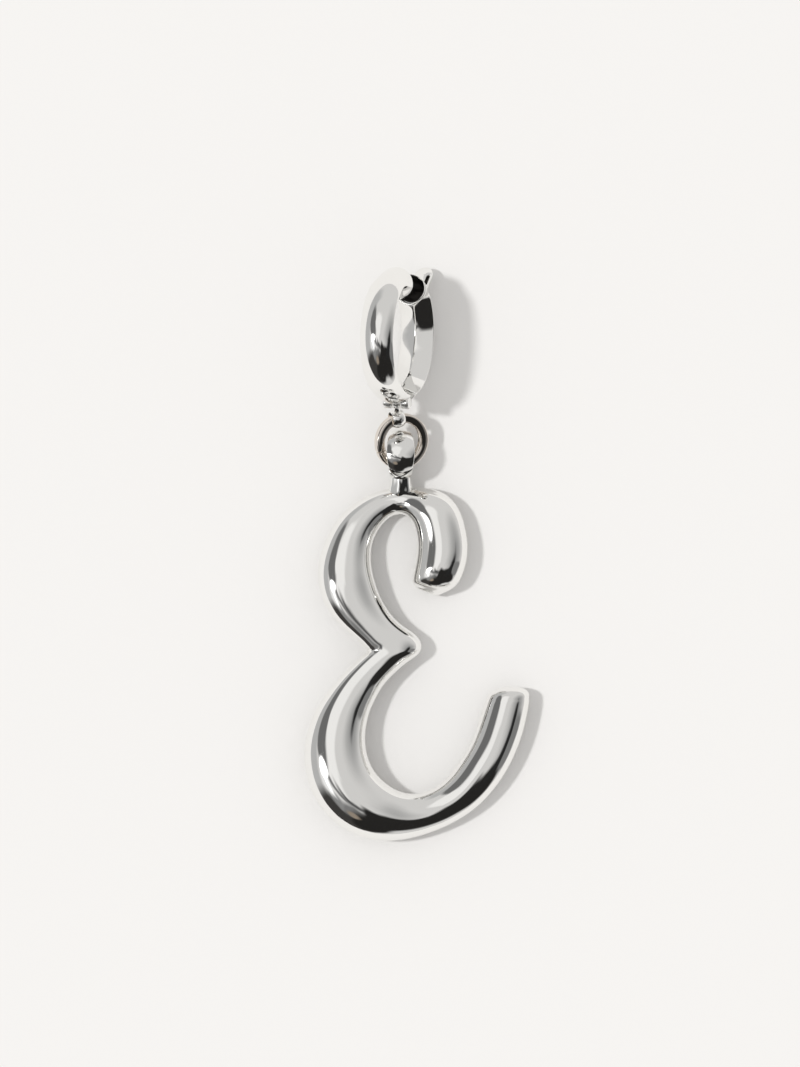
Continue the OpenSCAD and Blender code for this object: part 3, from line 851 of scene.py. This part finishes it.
# %% [markdown]
# ## The lamp
# One light high at the left gives the shadow its direction and its soft edge. A sun lamp of a few
# degrees does that evenly over the whole picture, where an area lamp would need a place and a size.
# The mirror doesn't see it: what the silver shows as a light is a spot of the painted sky below.

# %% The sun-like lamp
LAMP_POWER, LAMP_SPREAD, TOWARDS_LAMP = 1.48, 5, Vector((-1.0, 0.14, 1.55))
sun = bpy.data.lights.new("lamp", "SUN")
sun.energy = LAMP_POWER
sun.angle = math.radians(LAMP_SPREAD)
lamp = bpy.data.objects.new("lamp", sun)
bpy.context.scene.collection.objects.link(lamp)
lamp.rotation_mode = "QUATERNION"
lamp.rotation_quaternion = TOWARDS_LAMP.to_track_quat("Z", "Y")
lamp.visible_glossy = False
lamp_height = math.degrees(math.asin(TOWARDS_LAMP.normalized().z))
print("lamp's height in degrees:", round(lamp_height, 1))

# %% [markdown]
# ## The room in the mirror
# A mirror shows its room. It could be surrounded by white and black cards as in a real studio, but
# each card would light the paper too. Instead the sky is painted by direction, in degrees round from
# the right-hand side and up from the floor: a pale ceiling, a white screen at the left with a grey
# gap under it, and the big dark side of the room at the bottom of the picture, where the camera's
# stand is. The names of the patches are only labels for what such a room might have there. A slow
# noise wobbles their edges, because nothing in a room is ruled with a pen.

# %% Directions, and a patch of the sky
DEGREES = 180 / math.pi
WOBBLE_SCALE, WOBBLE_DETAIL, WOBBLE_REACH = 5.0, 1.5, 8
world = bpy.data.worlds.new("room")
bpy.context.scene.world = world
recipe = Recipe(world)
direction = recipe.add("ShaderNodeTexCoord", out="Generated")
parts = recipe.add("ShaderNodeSeparateXYZ", {}, {"Vector": direction})
east, north, up = (Value(recipe, socket) for socket in parts.socket.node.outputs)
wobble = recipe.add("ShaderNodeTexNoise", {},
                    {"Vector": direction, "Scale": WOBBLE_SCALE, "Detail": WOBBLE_DETAIL})
height = up.maths("ARCSINE", up) * DEGREES + (wobble - 0.5) * WOBBLE_REACH


def screen(sky, colour, azimuth, elevation, half_wide, half_high, soft, square=False, slope=0.0):
    """Paints a soft-edged patch round one direction; its sizes are in degrees."""
    turn = math.radians(azimuth)
    ahead = east * math.cos(turn) + north * math.sin(turn)
    aside = north * math.cos(turn) - east * math.sin(turn)
    across = aside.maths("ARCTAN2", aside, ahead) * DEGREES
    rise = (height - elevation - across * slope) * (1 / half_high)
    across = across * (1 / half_wide)
    across, rise = across * across, rise * rise
    if square:
        across, rise = across * across, rise * rise
    reach = across.maths("POWER", across + rise, 0.25 if square else 0.5)
    share = recipe.add("ShaderNodeMapRange", {"interpolation_type": "SMOOTHSTEP"},
                       {"Value": reach, "From Min": 1 + soft, "From Max": 1 - soft})
    return recipe.mix(share, sky, colour)


# %% The painted sky
# colour, azimuth, elevation, half width, half height, softness, square, slope
PATCHES = (
    (grey(0.30), -8, 38, 32, 24, 0.8, False, 0.0),               # the dim right side of the room
    (grey(0.47), 165, 15.5, 62, 14.5, 0.2, True, 0.0),           # the grey gap under the screen
    (grey(0.88, 0.01), 159, 68, 77, 19, 0.2, False, 0.0),        # the white screen, high at the left
    (grey(0.15), 158, 44, 31, 17, 0.2, False, 0.35),             # the dark strip under its edge
    (grey(0.20), 248, 47, 24, 18, 0.3, False, 0.0),              # the shade beside the window
    (grey(0.26), 219, 42, 12, 12, 0.3, False, 0.0),
    (grey(0.85), 200, 44, 15, 12, 0.3, False, 0.1),              # the window
    (grey(0.20), 208, 60, 36, 3.5, 0.5, False, 0.2),             # a bar over the window
    (grey(0.09), 246, 69, 40, 4, 0.6, False, 0.0),               # the edge of the dark side
    (grey(0.045, 0.05), 236, 16, 30, 20, 0.25, True, 0.0),       # the low dark corner
    (grey(0.07, 0.03), 266, 48, 21, 13, 0.4, False, 0.0),
    (grey(0.018, 0.05), 266, 28, 21, 26, 0.2, False, 0.0),       # the big dark side, in three parts
    (grey(0.018, 0.05), 290, 46, 27, 31, 0.2, False, 0.0),
    (grey(0.018, 0.05), 312, 34, 20, 29, 0.2, False, 0.0),
    (grey(0.02), 337, 42, 27, 9, 0.35, False, -0.1),             # its thin arm to the right
    (grey(0.20), 338, 19, 12, 15, 0.2, True, 0.0),               # a grey stool under the arm
    (grey(0.24, 0.2), 246, 42, 9, 6, 0.5, False, 0.0),           # a brown glint in the dark
    (grey(1.6), 200, 47, 14, 3.5, 0.7, False, 0.1),              # the lamp's glow on the window
    (grey(7.0), 187, 48, 6.5, 8, 0.7, False, 0.0),               # the lamp itself
)
sky = grey(0.65, 0.012)
for patch in PATCHES:
    sky = screen(sky, *patch)
print("patches on the sky:", len(PATCHES))

# %% [markdown]
# ### Which rays see which sky
# The paper is lit by a plain sky, so that its shadows stay soft and even and no patch tints them.
# Only the rays that leave a mirror see the painted one. The camera looks straight down and sees no
# sky at all, but in the views from the side the backdrop is a plain pale grey.

# %% Which rays see which sky
PAPER_SKY, BACKDROP = grey(0.76, 0.006), grey(0.9, 0.006)
path = recipe.add("ShaderNodeLightPath")
sees = {socket.name: Value(recipe, socket) for socket in path.socket.node.outputs}
light = recipe.mix(sees["Is Glossy Ray"], PAPER_SKY, sky)
light = recipe.mix(sees["Is Camera Ray"], light, BACKDROP)
background = recipe.add("ShaderNodeBackground", {}, {"Color": light, "Strength": 1.0})
recipe.add("ShaderNodeOutputWorld", {}, {"Surface": background})
print("nodes in the room's light:", len(recipe.tree.nodes))

# %% [markdown]
# ## The camera
# The photograph looks straight down from some way off. The lens is worked out from the scale, in
# pixels a millimetre, so that the frame's height is filled by just as many millimetres.

# %% The camera, straight above
PIXELS_PER_MM, SENSOR = 12.0, 36.0
FRAME_HIGH = 1067 / PIXELS_PER_MM
DISTANCE = 600.0
CAMERA_X, CAMERA_Y = -1.396, 1.708
camera_data = bpy.data.cameras.new("camera")
camera_data.sensor_fit = "VERTICAL"
camera_data.sensor_height = SENSOR
camera_data.lens = SENSOR * DISTANCE / FRAME_HIGH
camera_data.clip_start, camera_data.clip_end = 0.01, 10.0
camera = bpy.data.objects.new("camera", camera_data)
bpy.context.scene.collection.objects.link(camera)
camera.location = (CAMERA_X * MM, CAMERA_Y * MM, DISTANCE * MM)
bpy.context.scene.camera = camera
bpy.context.scene.view_settings.view_transform = "Standard"
print("lens in mm:", round(camera_data.lens, 1))
